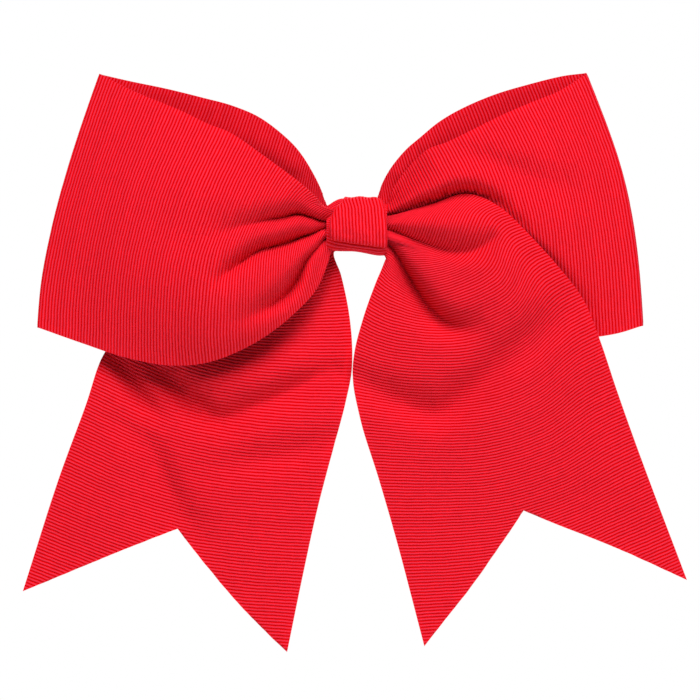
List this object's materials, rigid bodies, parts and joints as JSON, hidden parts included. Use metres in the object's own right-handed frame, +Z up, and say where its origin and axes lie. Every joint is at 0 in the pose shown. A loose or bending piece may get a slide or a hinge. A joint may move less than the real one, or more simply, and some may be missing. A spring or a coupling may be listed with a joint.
{
  "type": "cheer hair bow",
  "caption": "Large cheer hair bow of wide ribbed ribbon: two loops and two notched tails pinched in a tied knot, with a sprung alligator hair clip behind it.",
  "frame": {"origin": "middle of the clip, where the lock of hair is held between its two jaws", "axes": "+X to the right as the bow's front is seen, +Z up as worn, -Y out of the bow's front; +Y towards the head"},
  "size_m": [0.1862, 0.0292, 0.1629],
  "materials": {
    "ribbon": "ribbed grosgrain weave, low sheen",
    "knot_ribbon": "ribbed grosgrain weave, low sheen",
    "thread": "twisted thread",
    "hot_glue": "set hot-melt glue, glossy",
    "clip_steel": "nickel-plated stamped sheet",
    "spring_steel": "plain drawn wire"
  },
  "bodies": {
    "bow": {"ribbon_gather": "ribbon", "binding_thread": "thread", "knot_wrap": "knot_ribbon", "knot_turn": "knot_ribbon", "seam_glue": "hot_glue", "clip_glue_bed": "hot_glue", "left_tail_neck": "ribbon", "right_tail_neck": "ribbon", "clip_top_jaw": "clip_steel", "clip_pin": "clip_steel", "clip_spring_fixed": "spring_steel"},
    "clip_jaw": {"clip_bottom_jaw": "clip_steel", "clip_spring_free": "spring_steel"},
    "left_loop": {"left_loop": "ribbon"},
    "right_loop": {"right_loop": "ribbon"},
    "left_tail": {"left_tail": "ribbon"},
    "right_tail": {"right_tail": "ribbon"}
  },
  "joints": [
    {"name": "clip_hinge", "type": "hinge", "parent": "bow", "child": "clip_jaw", "pos_m": [-0.013, 0.0008, 0], "axis": [0, 0, 1], "range_deg": [0, 30], "stiffness_Nm_per_rad": 0.09, "springref_deg": -68.75},
    {"name": "left_loop_flex", "type": "hinge", "parent": "bow", "child": "left_loop", "pos_m": [-0.0086, -0.0126, 0], "axis": [0, 0, 1], "range_deg": [0, 25], "stiffness_Nm_per_rad": 0.01},
    {"name": "right_loop_flex", "type": "hinge", "parent": "bow", "child": "right_loop", "pos_m": [0.0086, -0.0048, 0], "axis": [0, 0, 1], "range_deg": [0, 8], "stiffness_Nm_per_rad": 0.01},
    {"name": "left_tail_flex", "type": "hinge", "parent": "bow", "child": "left_tail", "pos_m": [-0.02887, -0.0046, -0.03051], "axis": [0.8809, 0, -0.4733], "range_deg": [0, 25], "stiffness_Nm_per_rad": 0.008},
    {"name": "right_tail_flex", "type": "hinge", "parent": "bow", "child": "right_tail", "pos_m": [0.02596, -0.0214, -0.02634], "axis": [-0.8331, 0, -0.5531], "range_deg": [0, 30], "stiffness_Nm_per_rad": 0.008}
  ]
}
